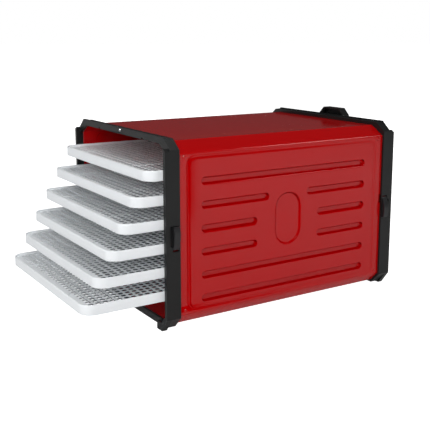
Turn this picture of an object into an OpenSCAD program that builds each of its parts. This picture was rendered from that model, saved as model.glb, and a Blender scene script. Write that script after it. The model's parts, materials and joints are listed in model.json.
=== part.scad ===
// Horizontal food dehydrator: a sheet-steel tunnel between two moulded end frames,
// six slide-in trays and a fan, motor and heater behind them.
// Millimetres, +Z up, mouth towards -Y. The origin is the middle of the footprint, on the resting plane.

/* [Overall] */
// Width across the outer faces of the end frames' posts
frame_w = 336.4; // [320:0.2:350]
// Depth from the front face of the front posts to the back face of the rear posts
body_d = 451; // [430:1:480]
// Height of the frames' top rail above the resting plane
rail_z = 294; // [290:1:298]

/* [Casing] */
// Sheet thickness
sheet_t = 0.8; // [0.6:0.1:1]
// Gap from the post's outer face in to the sheet
post_proud = 4; // [3.6:0.2:4.4]
// Height of the casing's flat top
casing_top = 286.4; // [285:0.2:287]
// Height of the casing's underside
casing_bottom = 6; // [5.5:0.1:6.5]
// Width of the sloping shoulder
shoulder_w = 27.5; // [26:0.5:29]
// Height of the sloping shoulder
shoulder_h = 15.8; // [15:0.2:17]
// Size of the 45 degree bend along the bottom
hem = 17.5; // [16:0.5:19]

/* [Tray ribs] */
// Number of trays, and of rib rows on each side
tray_count = 6; // [6:1:6]
// Height of the lowest rib row's centre line
rib_z0 = 44; // [40:1:48]
// Distance between rows
rib_pitch = 36.5; // [34:0.5:38]
// Height of a rib at the sheet
rib_h = 11.6; // [10:0.2:13]
// How far a rib stands into the tunnel
rib_depth = 7; // [6:0.2:7.4]
// Distance from the casing's middle to a rib row's ends
rib_end = 162.5; // [150:0.5:170]
// Half the gap in the middle of row 2, counted from the top
gap_short = 38; // [30:1:45]
// Half the gap in the middle of rows 3 and 4
gap_long = 60.5; // [50:0.5:65]
// Width of the oval badge pressed into the middle of each side
badge_w = 50; // [46:1:60]
// Height of the oval badge
badge_h = 86; // [60:1:88]

/* [Trays] */
// Outer width of a tray
tray_w = 320; // [316:1:321]
// Outer length of a tray
tray_l = 380; // [360:1:382]
// Height of a tray's rim
tray_h = 15.5; // [12:0.5:18]
// Radius of the tray's upright corners
tray_r = 19; // [15:1:24]
// Thickness of the tray's rim
tray_wall = 2.4; // [2:0.1:3]
// Thickness of the tray's grid floor
tray_floor = 2; // [1.5:0.1:3]
// How far the floor lies below the rim's top
tray_recess = 3.5; // [2:0.5:5]
// How far the top tray stands out of the mouth
tray_out_top = 25.3; // [0:0.1:40]
// How much further each lower tray stands out
tray_out_step = 20.3; // [0:0.1:22]

/* [End frames] */
// Depth of a frame along the tunnel
frame_d = 24; // [22:1:28]
// How far posts and feet stand in front of the rails
band_d = 8.2; // [6:0.2:9]
// Half width of the frame's opening
mouth_hw = 161.7; // [161:0.1:162.5]
// Top of the frame's opening
mouth_top = 283.5; // [283:0.1:284.5]
// Bottom of the frame's opening
mouth_bottom = 13; // [11:0.5:15]
// Height of the feet below the frame's underside
foot_h = 2.5; // [2:0.1:4]

/* [Side catches] */
// Height of the catch's pivot on the front frame
catch_z = 130; // [120:1:140]
// Length of the lever above its pivot
catch_len = 34; // [33:1:36]
// Width of the lever along the tunnel
catch_w = 10; // [8:0.5:10]
// How far the lever bulges beyond the post
catch_bulge = 5.8; // [4:0.2:7]
// Radius of a catch's pivot pin
catch_pin_r = 1; // [0.8:0.1:1.1]
// How much larger a running bore's radius is than its pin's
fit_gap = 0.05; // [0.03:0.01:0.08]

/* [Power unit] */
// Height of the fan's axis
fan_z = 146; // [140:1:152]
// Fan radius
fan_r = 76; // [60:1:84]
// Number of fan blades
blade_count = 7; // [5:1:9]
// How far the rear cover stands behind the frame
cover_out = 18; // [14:1:20]
// Half width of the cover's raised box
box_hw = 118; // [110:1:122]
// Bottom of the raised box
box_z0 = 30; // [28:1:32]
// Top of the raised box
box_z1 = 262; // [255:1:264]
// Wall of the rear cover
cover_t = 2.5; // [2:0.1:3]

/* [Hidden] */

$fn = 48;
eps = 0.01;
half_d = body_d / 2;
post_hw = frame_w / 2;
casing_hw = post_hw - post_proud;
sheet_play = 0.15;
flange_top = rail_z - 2;

// Section corners: the upper and lower shoulders, moved inwards by d.
function shoulder(hw, z, cw, ch, d) =
  let (l = norm([cw, ch]), nx = ch / l, nz = cw / l, c = nx * hw + nz * (z - ch) - d,
       zi = z - d, xi = hw - d)
  [[(c - nz * zi) / nx, zi], [xi, (c - nx * xi) / nz]];
function flip_z(p) = [for (i = [len(p) - 1:-1:0]) [p[i][0], -p[i][1]]];
function half_section(hw, z0, z1, cw1, ch1, cw0, ch0, d) =
  concat(shoulder(hw, z1, cw1, ch1, d), flip_z(shoulder(hw, -z0, cw0, ch0, d)));
function both_sides(p) = concat(p, [for (i = [len(p) - 1:-1:0]) [-p[i][0], p[i][1]]]);
function casing_section(d) =
  both_sides(half_section(casing_hw, casing_bottom, casing_top, shoulder_w, shoulder_h, hem, hem, d));

// Extrudes an XZ outline from y0 to y1.
module along_y(y0, y1) {
  translate([0, y1, 0]) rotate([90, 0, 0]) linear_extrude(height = y1 - y0) children();
}
// A cylinder along Y.
module rod_y(r, y0, y1, x = 0, z = 0) {
  translate([x, y1, z]) rotate([90, 0, 0]) cylinder(r = r, h = y1 - y0);
}
module rounded_rect(w, h, r) {
  square([w - 2 * r, h], center = true);
  square([w, h - 2 * r], center = true);
  for (sx = [-1, 1], sz = [-1, 1]) translate([sx * (w / 2 - r), sz * (h / 2 - r)]) circle(r = r);
}

// ---- casing ----
casing_y0 = -half_d + band_d + 1.6;
casing_y1 = -casing_y0;
pan_lap = 14;
lap_z = casing_bottom + hem;
pan_top = lap_z + pan_lap;
lap_neck = 0.35;
rib_in = casing_hw - rib_depth;

// Rib rows counted from the top, each with the half gap in its middle (0 is one full rib).
function row_gap(row) = row == 1 ? gap_short : (row == 2 || row == 3 ? gap_long : 0);
function row_z(row) = rib_z0 + rib_pitch * (tray_count - 1 - row);

module rib_bar(x0, x1, h0, h1, y0, y1) {
  along_y(y0, y1) polygon([[x0, -h0 / 2], [x1, -h1 / 2], [x1, h1 / 2], [x0, h0 / 2]]);
}
// Every rib of one side: outline at the sheet, outline at the crest, and how far the ends pull in.
module rib_set(x0, x1, h0, h1, pull) {
  for (row = [0:tray_count - 1]) translate([0, 0, row_z(row)]) {
    if (row_gap(row) == 0) rib_bar(x0, x1, h0, h1, -rib_end + pull, rib_end - pull);
    else for (s = [-1, 1]) {
      y_in = s * (row_gap(row) + pull);
      y_out = s * (rib_end - pull);
      rib_bar(x0, x1, h0, h1, min(y_in, y_out), max(y_in, y_out));
    }
  }
}
// The badge's block, from its inner face outwards, with its outline moved in by inset.
badge_d = 2.4;
badge_z = row_z(2.1);
module badge(x, h, inset) translate([casing_hw - badge_d + x, 0, badge_z]) rotate([90, 0, 90])
  linear_extrude(height = h) rounded_rect(badge_w - 2 * inset, badge_h - 2 * inset, badge_w / 2 - 1 - inset);

module casing_wrap() color("firebrick") difference() {
  union() {
    intersection() {
      along_y(casing_y0, casing_y1) difference() {
        polygon(casing_section(0));
        polygon(casing_section(sheet_t));
      }
      translate([-200, -half_d, casing_bottom + hem]) cube([400, body_d, 300]);
    }
    for (s = [0, 1]) mirror([s, 0, 0]) {
      rib_set(rib_in, casing_hw - eps, rib_h - 0.2, rib_h + 0.8, 0);
      badge(0, badge_d - eps, 0);
    }
  }
  for (s = [0, 1]) mirror([s, 0, 0]) {
    rib_set(rib_in + sheet_t, casing_hw + 1, rib_h - 2, rib_h - 0.6, sheet_t);
    badge(sheet_t, 5, sheet_t);
    // windows for the catches' noses
    for (e = [-1, 1]) translate([casing_hw - 5, e * (half_d - nose_y) - nose_w / 2 - 0.5,
                                 nose_height(e) - nose_h / 2 - 0.5]) cube([10, nose_w + 1, nose_h + 1]);
    for (p = rivet_spots) translate([casing_hw - 5, p[0], p[1]]) rotate([0, 90, 0]) cylinder(r = rivet_r, h = 10);
  }
}
rivet_r = 1.6;
rivet_y = 192;
rivet_low = casing_bottom + hem + 7;
rivet_high = casing_top - shoulder_h - 5.6;
rivet_spots = [for (sy = [-1, 1], z = [rivet_low, rivet_high]) [sy * rivet_y, z]];

// The bottom sheet, bent up at both sides to lap inside the wrap.
module base_pan() color("firebrick") difference() {
  union() {
    intersection() {
      along_y(casing_y0, casing_y1) difference() {
        polygon(casing_section(0));
        polygon(casing_section(sheet_t));
      }
      translate([-200, -half_d, 0]) cube([400, body_d, casing_bottom + hem - eps]);
    }
    for (s = [0, 1]) mirror([s, 0, 0]) along_y(casing_y0 + 3, casing_y1 - 3)
      polygon([[casing_hw - sheet_t, pan_top], [casing_hw - 2 * sheet_t, pan_top],
               [casing_hw - 2 * sheet_t, lap_z - 0.5], [casing_hw - sheet_t - lap_neck, lap_z - 0.5],
               [casing_hw - sheet_t - lap_neck, lap_z + 0.4], [casing_hw - sheet_t, lap_z + 0.4]]);
  }
  for (s = [0, 1], sy = [-1, 1]) mirror([s, 0, 0]) translate([casing_hw - 5, sy * rivet_y, rivet_low])
    rotate([0, 90, 0]) cylinder(r = rivet_r, h = 10);
}
// The low ones hold the pan's lap, so they pass through two sheets.
module panel_rivets() color("firebrick") for (s = [0, 1], p = rivet_spots) mirror([s, 0, 0])
  translate([casing_hw, p[0], p[1]]) rotate([0, 90, 0]) {
    grip = p[1] == rivet_low ? 2 * sheet_t : sheet_t;
    translate([0, 0, -grip]) cylinder(r = rivet_r, h = grip + 0.2);
    cylinder(r1 = 2.8, r2 = 1.6, h = 0.9);
    translate([0, 0, -grip - 0.7]) cylinder(r = 2.4, h = 0.7);
  }

// ---- end frames ----
// Every frame feature is drawn on the front frame; the rear frame is the same moulding turned round.
flange_bottom = foot_h;
frame_cw = 20;
frame_ch = 15;
frame_hem = 19;
post_top = 279;
foot_in = 135;
wall_t = 4;
notch_x = 80;
screw_z = 289.5;
front_y = -half_d;

function frame_outline(top) =
  both_sides([[post_hw - frame_cw, top], [post_hw, flange_top - frame_ch],
              [post_hw, flange_bottom + frame_hem], [post_hw - frame_hem, flange_bottom]]);
mouth = both_sides(half_section(mouth_hw, mouth_bottom, mouth_top, 26, 15, 12, 12, 0));
// The band that stands in front of the rails: post, lower corner and foot.
band = [[mouth_hw, post_top], [post_hw, post_top - 3.5], [post_hw, flange_bottom + frame_hem],
        [post_hw - frame_hem + foot_h, 0], [foot_in, 0], [foot_in + 1, mouth_bottom],
        [mouth_hw - 12, mouth_bottom], [mouth_hw, mouth_bottom + 12]];

// flip is true on the rear frame, whose catches hang the other way up.
module end_frame(flip) {
  y_rail = front_y + band_d;
  y_back = front_y + frame_d;
  difference() {
    union() {
      along_y(y_rail, y_back) difference() {
        polygon(frame_outline(flange_top));
        polygon(mouth);
      }
      along_y(y_rail, y_rail + wall_t) difference() {
        polygon(frame_outline(rail_z));
        polygon(mouth);
      }
      for (s = [0, 1]) mirror([s, 0, 0]) along_y(front_y, y_rail + eps) polygon(band);
    }
    // groove that takes the edge of the sheet
    along_y(-casing_y1 - 0.1, y_back + 1) difference() {
      polygon(casing_section(-sheet_play));
      polygon(casing_section(sheet_t + sheet_play));
    }
    // behind the lip only the outer flange is left
    along_y(y_rail + wall_t, y_back + 1) polygon(casing_section(-sheet_play));
    for (s = [-1, 1]) translate([s * notch_x - 2.5, y_rail - 1, mouth_top - 1]) cube([5, 3.2, 3.6]);
    rod_y(screw_shank, y_rail - 1, y_rail + screw_len, 0, screw_z);
    rod_y(4, y_rail - 1, y_rail + 1.4, 0, screw_z);
    for (s = [0, 1]) mirror([s, 0, 0]) catch_pocket(flip);
  }
}
module front_frame() color([0.17, 0.17, 0.18]) end_frame(false);
module rear_frame() color([0.17, 0.17, 0.18]) rotate([0, 0, 180]) end_frame(true);

screw_shank = 1.9;
screw_len = 12;
module frame_screws() color("silver") for (turn = [0, 180]) rotate([0, 0, turn]) {
  y_seat = front_y + band_d + 1.4;
  rod_y(screw_shank, y_seat, front_y + band_d + screw_len, 0, screw_z);
  difference() {
    translate([0, y_seat, screw_z]) rotate([90, 0, 0]) cylinder(r1 = 3.4, r2 = 2.6, h = 1.8);
    for (a = [0, 90]) translate([0, y_seat - 1.6, screw_z]) rotate([0, a, 0])
      cube([3.6, 1.6, 0.8], center = true);
  }
}

// ---- side catches ----
// Drawn on the front right post: the pivot is at the foot of the lever and the nose near its top.
catch_y = 16.5;
pivot_x = post_hw - 1.7;
catch_play = 0.4;
catch_gap = 4.6;
recess_wall = 0.75;
pocket_top = catch_z + catch_len + 1;
pocket_foot = catch_z - 4.4;
nose_y = 17;
nose_w = 6;
nose_h = 4;
nose_up = 28;
mid_z = catch_z + 15;
function nose_height(e) = e < 0 ? catch_z + nose_up : 2 * mid_z - catch_z - nose_up;

// Turns the drawing over for the rear frame.
module maybe_flip(flip) {
  if (flip) translate([0, 0, 2 * mid_z]) mirror([0, 0, 1]) children();
  else children();
}
// Recess for the lever with a finger gap in front of it, a slot for the pivot's eye and a window for the nose.
module catch_pocket(flip) maybe_flip(flip) {
  y_edge = front_y + catch_y - catch_w / 2;
  eye_top = catch_z + 3;
  translate([casing_hw + recess_wall, y_edge - catch_gap, eye_top])
    cube([20, catch_w + catch_gap + catch_play, pocket_top - eye_top]);
  translate([post_hw - 10, y_edge - catch_play, pocket_foot])
    cube([20, catch_w + 2 * catch_play, eye_top + eps - pocket_foot]);
  translate([post_hw - 10, front_y + nose_y - nose_w / 2 - 0.5, catch_z + nose_up - nose_h / 2 - 0.5])
    cube([20, nose_w + 1, nose_h + 1]);
  rod_y(catch_pin_r, front_y + band_d + 1, front_y + frame_d - 0.8, pivot_x, catch_z);
}
module catch_lever() {
  x_in = casing_hw + 0.9;
  difference() {
    union() {
      along_y(front_y + catch_y - catch_w / 2, front_y + catch_y + catch_w / 2) {
        polygon([[x_in, catch_z], [x_in, catch_z + catch_len], [post_hw + 3.6, catch_z + catch_len],
                 [post_hw + 4.6, catch_z + catch_len - 3], [post_hw + catch_bulge, catch_z + 22],
                 [post_hw + catch_bulge - 0.6, catch_z + 13], [post_hw + 3, catch_z + 5],
                 [pivot_x + 1.9, catch_z - 0.3], [pivot_x, catch_z - 1]]);
        translate([pivot_x, catch_z]) circle(r = 1.95);
      }
      translate([casing_hw - 1.4, front_y + nose_y - nose_w / 2, catch_z + nose_up - nose_h / 2])
        cube([3, nose_w, nose_h]);
    }
    rod_y(catch_pin_r + fit_gap, front_y, front_y + frame_d, pivot_x, catch_z);
  }
}
// side: 1 right, -1 left.
module side_catch(side, rear) color([0.14, 0.14, 0.15]) mirror([side < 0 ? 1 : 0, 0, 0])
  mirror([0, rear ? 1 : 0, 0]) maybe_flip(rear) catch_lever();
module front_left_catch() side_catch(-1, false);
module front_right_catch() side_catch(1, false);
module rear_left_catch() side_catch(-1, true);
module rear_right_catch() side_catch(1, true);
module catch_pins() color("silver") for (s = [0, 1], rear = [0, 1]) mirror([s, 0, 0]) mirror([0, rear, 0])
  maybe_flip(rear == 1) rod_y(catch_pin_r, front_y + band_d + 1, front_y + frame_d - 0.8, pivot_x, catch_z);

// ---- trays ----
tray_lift = rib_h / 2 + 0.25;
grid_x = 8;
grid_y = 9;
grid_edge = 15;
grid_bar = 6;
module tray(row) {
  y_front = front_y - tray_out_top - tray_out_step * row;
  floor_z = tray_h - tray_recess - tray_floor;
  cell_x = (tray_w - 2 * grid_edge + grid_bar) / grid_x;
  cell_y = (tray_l - 2 * grid_edge + grid_bar) / grid_y;
  translate([0, y_front + tray_l / 2, row_z(row) + tray_lift]) {
    linear_extrude(height = tray_h) difference() {
      rounded_rect(tray_w, tray_l, tray_r);
      rounded_rect(tray_w - 2 * tray_wall, tray_l - 2 * tray_wall, tray_r - tray_wall);
    }
    translate([0, 0, floor_z]) linear_extrude(height = tray_floor) difference() {
      rounded_rect(tray_w - tray_wall, tray_l - tray_wall, tray_r - tray_wall / 2);
      for (i = [0:grid_x - 1], j = [0:grid_y - 1])
        translate([-tray_w / 2 + grid_edge + i * cell_x, -tray_l / 2 + grid_edge + j * cell_y])
          square([cell_x - grid_bar, cell_y - grid_bar]);
    }
  }
}
module tray_1() color("whitesmoke") tray(0);
module tray_2() color("whitesmoke") tray(1);
module tray_3() color("whitesmoke") tray(2);
module tray_4() color("whitesmoke") tray(3);
module tray_5() color("whitesmoke") tray(4);
module tray_6() color("whitesmoke") tray(5);

// ---- fan, motor and heater; their places are counted back from the front posts ----
guard_y = front_y + 395;
guard_t = 1.2;
clip_gap = 0.02;
heater_y = front_y + 402;
impeller_y = front_y + 411;
impeller_d = 17;
bracket_y = front_y + 432;
stack_y = front_y + 438;
stack_d = 18;
rear_plate_y = front_y + 459;
plate_t = 1.6;
shaft_r = 3;
bush_r = 5;
leg_x = 96;
board_hw = 86;
stack_w = 64;
stack_low = 30;
stack_high = 26;
rotor_r = 13;
stud_x = 26;
stud_z = 20;

// Perforated sheet across the tunnel behind the trays.
module fan_guard() color("silver") {
  rings = [22, 34, 46, 58, 70];
  // clips that hold the guard's edges to the casing
  for (s = [0, 1]) mirror([s, 0, 0]) translate([casing_hw - sheet_t - 1.2, guard_y + guard_t + clip_gap, 120])
    cube([1.2 - 0.05, 12, 60]);
  difference() {
    union() {
      along_y(guard_y, guard_y + guard_t) polygon(casing_section(sheet_t * 2 + 0.2));
    }
    for (r = rings, a = [0:360 / round(r * 0.45):359]) translate([0, 0, fan_z])
      rotate([0, a, 0]) rod_y(4, guard_y - 1, guard_y + 2, r, 0);
    for (s = [-1, 1]) rod_y(screw_shank, guard_y - 1, guard_y + 2, s * leg_x, fan_z);
    for (s = [-1, 1]) rod_y(screw_shank, guard_y - 1, guard_y + 2, s * 88, fan_z - 66);
  }
}
// Two crossed strips of mica board.
module heater_board() color("tan") difference() {
  union() {
    translate([-board_hw, heater_y, fan_z - 5]) cube([2 * board_hw, 1.5, 10]);
    translate([-5, heater_y, fan_z - 84]) cube([10, 1.5, 168]);
    for (s = [-1, 1]) translate([s * (board_hw - 3) - 3, guard_y + guard_t, fan_z - 5])
      cube([6, heater_y - guard_y - guard_t, 10]);
  }
  for (r = [34, 50, 66], a = [0:90:270]) translate([0, 0, fan_z]) rotate([0, a, 0])
    rod_y(1.4, heater_y - 1, heater_y + 3, r, 0);
}
// Three rings of coiled resistance wire, drawn as the coil's outer tube.
module heater_coil() color("dimgray") {
  for (r = [34, 50, 66]) translate([0, heater_y + 1.5 + 1.9, fan_z]) rotate([90, 0, 0])
    rotate_extrude($fn = 96) translate([r, 0]) circle(r = 1.9, $fn = 16);
}
module thermal_cutout() color("gainsboro") translate([0, heater_y, 0]) {
  translate([-14, 1.5, fan_z + 70]) cube([8.5, 5, 12]);
  translate([-14, 1.5, fan_z + 70]) translate([2, 1, 12]) cube([1.5, 0.8, 6]);
  translate([-14, 1.5, fan_z + 70]) translate([5, 1, 12]) cube([1.5, 0.8, 6]);
  translate([-14, 0, fan_z + 70]) cube([9, 1.5, 12]);
}
// Axial fan: pitched flat blades, trimmed to a circle, on a hub.
module fan_impeller() color("dimgray") translate([0, 0, fan_z]) difference() {
  union() {
    rod_y(18, impeller_y, impeller_y + impeller_d);
    intersection() {
      rod_y(fan_r, impeller_y, impeller_y + impeller_d);
      for (i = [0:blade_count - 1]) rotate([0, i * 360 / blade_count, 0])
        translate([fan_r / 2 + 8, impeller_y + impeller_d / 2, 0]) rotate([32, 0, 0])
          cube([fan_r + 4, 1.8, 44], center = true);
    }
  }
  rod_y(shaft_r, impeller_y - 1, impeller_y + impeller_d + 1);
}
module fan_shaft() color("silver") translate([0, 0, fan_z])
  rod_y(shaft_r, impeller_y, rear_plate_y + plate_t + 1.4);
module motor_rotor() color("darkgray") translate([0, 0, fan_z]) difference() {
  rod_y(rotor_r, stack_y + 0.5, stack_y + stack_d - 0.5);
  rod_y(shaft_r, stack_y - 1, stack_y + stack_d + 1);
}
// Shaded-pole motor: laminations round the rotor, with the winding's leg below.
module motor_stack() color("slategray") difference() {
  translate([-stack_w / 2, stack_y, fan_z - stack_low - 34]) cube([stack_w, stack_d, stack_low + 34 + stack_high]);
  translate([0, 0, fan_z]) rod_y(rotor_r + 0.5, stack_y - 1, stack_y + stack_d + 1);
  for (s = [-1, 1]) translate([s * 19 - 8, stack_y - 1, fan_z - stack_low - 25]) cube([16, stack_d + 2, 28]);
  for (sx = [-1, 1], sz = [-1, 1]) rod_y(1.6, stack_y - 1, stack_y + stack_d + 1, sx * stud_x, fan_z + sz * stud_z);
}
module motor_winding() color("peru") difference() {
  translate([-16, stack_y - 3.5, fan_z - stack_low - 23]) cube([32, stack_d + 5, 24]);
  translate([-11, stack_y - 5, fan_z - stack_low - 26]) cube([22, stack_d + 10, 32]);
  translate([-11 - eps, stack_y - 10, fan_z]) cube([22, 40, 22]);
}
// Cross bar on two legs that stand on the fan guard, and the motor's rear bearing plate.
module motor_bracket() color("silver") {
  difference() {
    union() {
      translate([-leg_x - 8, bracket_y, fan_z - 28]) cube([2 * leg_x + 16, plate_t, 56]);
      for (s = [-1, 1]) {
        translate([s * leg_x - 8, guard_y + guard_t, fan_z - 14]) cube([16, plate_t, 28]);
        translate([s * (leg_x + 8 - plate_t / 2) - plate_t / 2, guard_y + guard_t, fan_z - 14])
          cube([plate_t, bracket_y - guard_y, 28]);
      }
    }
    rod_y(bush_r, bracket_y - 1, bracket_y + 3, 0, fan_z);
    for (sx = [-1, 1], sz = [-1, 1]) rod_y(1.6, bracket_y - 1, bracket_y + 3, sx * stud_x, fan_z + sz * stud_z);
    for (s = [-1, 1]) rod_y(screw_shank, guard_y, guard_y + 5, s * leg_x, fan_z);
  }
  difference() {
    translate([-stack_w / 2, rear_plate_y, fan_z - 26]) cube([stack_w, plate_t, 52]);
    rod_y(bush_r, rear_plate_y - 1, rear_plate_y + 3, 0, fan_z);
    for (sx = [-1, 1], sz = [-1, 1]) rod_y(1.6, rear_plate_y - 1, rear_plate_y + 3, sx * stud_x, fan_z + sz * stud_z);
  }
}
module shaft_bushes() color("goldenrod") for (y = [bracket_y, rear_plate_y]) translate([0, 0, fan_z])
  difference() {
    rod_y(bush_r, y, y + plate_t);
    rod_y(shaft_r + fit_gap, y - 1, y + plate_t + 1);
  }
module motor_screws() color("silver") {
  for (sx = [-1, 1], sz = [-1, 1]) {
    rod_y(1.6, bracket_y - 0.5, rear_plate_y + plate_t, sx * stud_x, fan_z + sz * stud_z);
    rod_y(3, bracket_y - 2.2, bracket_y, sx * stud_x, fan_z + sz * stud_z);
    for (y = [bracket_y + plate_t, stack_y + stack_d]) difference() {
      rod_y(3, y, y == bracket_y + plate_t ? stack_y : rear_plate_y, sx * stud_x, fan_z + sz * stud_z);
      rod_y(1.6, y - 1, rear_plate_y + 1, sx * stud_x, fan_z + sz * stud_z);
    }
  }
  for (s = [-1, 1]) {
    rod_y(screw_shank, guard_y - 0.5, guard_y + guard_t + plate_t, s * leg_x, fan_z);
    rod_y(3.4, guard_y - 2, guard_y, s * leg_x, fan_z);
  }
}

// ---- rear cover and controls ----
plate_y = half_d - band_d + 0.1;
cover_y = half_d + cover_out;
knob_x = -82;
switch_x = 82;
lens_x = 50;
control_z = 52;
inlet_x = 0;
inlet_z = 50;
inlet_w = 27;
inlet_h = 19.5;
switch_w = 13;
switch_h = 19;
plate_hw = mouth_hw - 0.3;
plate_top = mouth_top + 2;
plate_low = mouth_bottom + 0.3;

function plate_outline(d) = both_sides(half_section(plate_hw, plate_low, plate_top, 26, 15, 12, 12, d));
module box_outline(d) translate([0, (box_z0 + box_z1) / 2])
  rounded_rect(2 * (box_hw - d), box_z1 - box_z0 - 2 * d, 24 - d);

module rear_cover() color([0.15, 0.15, 0.16]) difference() {
  union() {
    along_y(plate_y, plate_y + cover_t) polygon(plate_outline(0));
    along_y(plate_y, cover_y) box_outline(0);
  }
  along_y(plate_y - 1, cover_y - cover_t) box_outline(cover_t);
  // air intake: slots in a round field behind the fan
  for (k = [-6:6]) {
    half_slot = sqrt(pow(76, 2) - pow(k * 11, 2));
    for (s = [-1, 1]) translate([s > 0 ? 4 : -half_slot, cover_y - cover_t - 1, fan_z + 6 + k * 11 - 2.5])
      cube([half_slot - 4, cover_t + 2, 5]);
  }
  rod_y(3.4, cover_y - 5, cover_y + 1, knob_x, control_z);
  rod_y(3.5, cover_y - 5, cover_y + 1, lens_x, control_z);
  translate([switch_x - switch_w / 2, cover_y - 5, control_z - switch_h / 2]) cube([switch_w, 10, switch_h]);
  translate([inlet_x - inlet_w / 2, cover_y - 5, inlet_z - inlet_h / 2]) cube([inlet_w, 10, inlet_h]);
  for (p = cover_screw_spots) rod_y(screw_shank, plate_y - 1, plate_y + 5, p[0], p[1]);
  for (s = [-1, 1]) rod_y(hood_screw_r, plate_y - 1, plate_y + 5, s * hood_screw_x, hood_screw_z);
}
cover_screw_spots = [for (sx = [-1, 1], z = [40, 254]) [sx * 140, z]];
hood_screw_r = 1.6;
hood_screw_x = 24;
hood_screw_z = 274;
hood_foot_t = 3;
// Each screw runs into a steel spacer that stands on the fan guard.
module cover_screws() color("silver") {
  for (p = cover_screw_spots) {
    rod_y(screw_shank, plate_y - 8, plate_y + cover_t, p[0], p[1]);
    rod_y(3.6, plate_y + cover_t, plate_y + cover_t + 2, p[0], p[1]);
    difference() {
      rod_y(4.5, guard_y + guard_t, plate_y, p[0], p[1]);
      rod_y(screw_shank, plate_y - 8, plate_y + 1, p[0], p[1]);
    }
  }
  for (s = [-1, 1]) {
    rod_y(hood_screw_r, plate_y - 3, plate_y + cover_t + hood_foot_t, s * hood_screw_x, hood_screw_z);
    rod_y(3, plate_y + cover_t + hood_foot_t, plate_y + cover_t + hood_foot_t + 1.8,
          s * hood_screw_x, hood_screw_z);
  }
}
// Finger hood over the rear rail, open towards the front.
hood_base = 35;
hood_top = 22;
hood_z = 305;
hood_t = 2.4;
hood_y0 = half_d - 2;
hood_y1 = half_d + 13;
hood_foot = 282;
module grip_hood() color([0.12, 0.12, 0.13]) {
  outline = both_sides([[hood_top, hood_z], [hood_base, rail_z - 1.5], [hood_base, hood_foot]]);
  inner = both_sides([[hood_top - 1.2, hood_z - hood_t], [hood_base - 2.9, rail_z - 1.5],
                      [hood_base - 2.4, hood_foot - 1]]);
  difference() {
    along_y(hood_y0, hood_y1) polygon(outline);
    along_y(hood_y0 - 1, hood_y1 - hood_t) polygon(inner);
  }
  // foot plate that the cover's screws hold
  difference() {
    translate([-hood_base, plate_y + cover_t, 266]) cube([2 * hood_base, hood_foot_t, 18]);
    for (s = [-1, 1]) rod_y(hood_screw_r, plate_y, plate_y + 9, s * hood_screw_x, hood_screw_z);
  }
  for (s = [-1, 1]) translate([s * (hood_base - 1.2) - 1.2, plate_y + cover_t, hood_foot - 12])
    cube([2.4, hood_y1 - plate_y - cover_t - 3, 14]);
}

module thermostat_body() color("ivory") {
  translate([knob_x - 15, cover_y - cover_t - 15, control_z - 14]) difference() {
    cube([30, 15, 28]);
    translate([15, 16, 14]) rotate([90, 0, 0]) cylinder(r = 3 + fit_gap, h = 12);
  }
}
module thermostat_spindle() color("silver")
  rod_y(3, cover_y - cover_t - 10, cover_y + 9, knob_x, control_z);
module thermostat_knob() color([0.1, 0.1, 0.1]) difference() {
  union() {
    rod_y(15, cover_y + 0.4, cover_y + 4, knob_x, control_z);
    rod_y(12.5, cover_y + 4, cover_y + 12, knob_x, control_z);
    translate([knob_x - 2, cover_y + 4, control_z]) cube([4, 9, 14.5]);
  }
  rod_y(3, cover_y - 1, cover_y + 9, knob_x, control_z);
}
rocker_axis_y = cover_y - 0.5;
module switch_housing() color([0.08, 0.08, 0.08]) difference() {
  union() {
    translate([switch_x - switch_w / 2, cover_y - 15, control_z - switch_h / 2]) cube([switch_w, 15, switch_h]);
    translate([switch_x - switch_w / 2 - 1.5, cover_y, control_z - switch_h / 2 - 1.5])
      cube([switch_w + 3, 1.5, switch_h + 3]);
  }
  translate([switch_x - switch_w / 2 + 1.5, cover_y - 7, control_z - switch_h / 2 + 1.5])
    cube([switch_w - 3, 10, switch_h - 3]);
  translate([switch_x - 9, rocker_axis_y, control_z]) rotate([0, 90, 0]) cylinder(r = 1, h = 18);
}
// Rocker at rest with its lower half pressed in; it turns on two stub pins.
module switch_rocker() color("darkred") {
  translate([switch_x, rocker_axis_y, control_z]) rotate([-8, 0, 0]) {
    rotate([90, 0, 90]) linear_extrude(height = switch_w - 3.8, center = true)
      polygon([[-3, -4], [-3, 4], [3.4, 7.4], [1.6, 0], [3.4, -7.4]]);
  }
  translate([switch_x - 5.8, rocker_axis_y, control_z]) rotate([0, 90, 0]) cylinder(r = 1 - fit_gap, h = 11.6);
}
module indicator_lens() color("orange") {
  rod_y(3.4, cover_y - 9, cover_y, lens_x, control_z);
  rod_y(4.6, cover_y, cover_y + 1.2, lens_x, control_z);
}
module mains_inlet() color([0.08, 0.08, 0.08]) difference() {
  union() {
    translate([inlet_x - inlet_w / 2, cover_y - 15, inlet_z - inlet_h / 2]) cube([inlet_w, 15, inlet_h]);
    translate([inlet_x - inlet_w / 2 - 2, cover_y, inlet_z - inlet_h / 2 - 2])
      cube([inlet_w + 4, 1.5, inlet_h + 4]);
  }
  translate([inlet_x - 11.5, cover_y - 13, inlet_z - 7.75]) cube([23, 20, 15.5]);
  for (p = pin_spots) translate([inlet_x + p[0] - 1, cover_y - 20, inlet_z + p[1] - 2]) cube([2, 12, 4]);
}
pin_spots = [[-7, -2], [7, -2], [0, 2]];
module inlet_pins() color("silver") for (p = pin_spots)
  translate([inlet_x + p[0] - 1, cover_y - 19, inlet_z + p[1] - 2]) cube([2, 17, 4]);
module terminal_block() color("ivory") difference() {
  translate([-60, plate_y - 4, 74 - 8]) cube([30, 12, 14]);
  for (k = [0:2]) rod_y(1.7, plate_y + 2, plate_y + 10, -54 + k * 9, 73);
}
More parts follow.
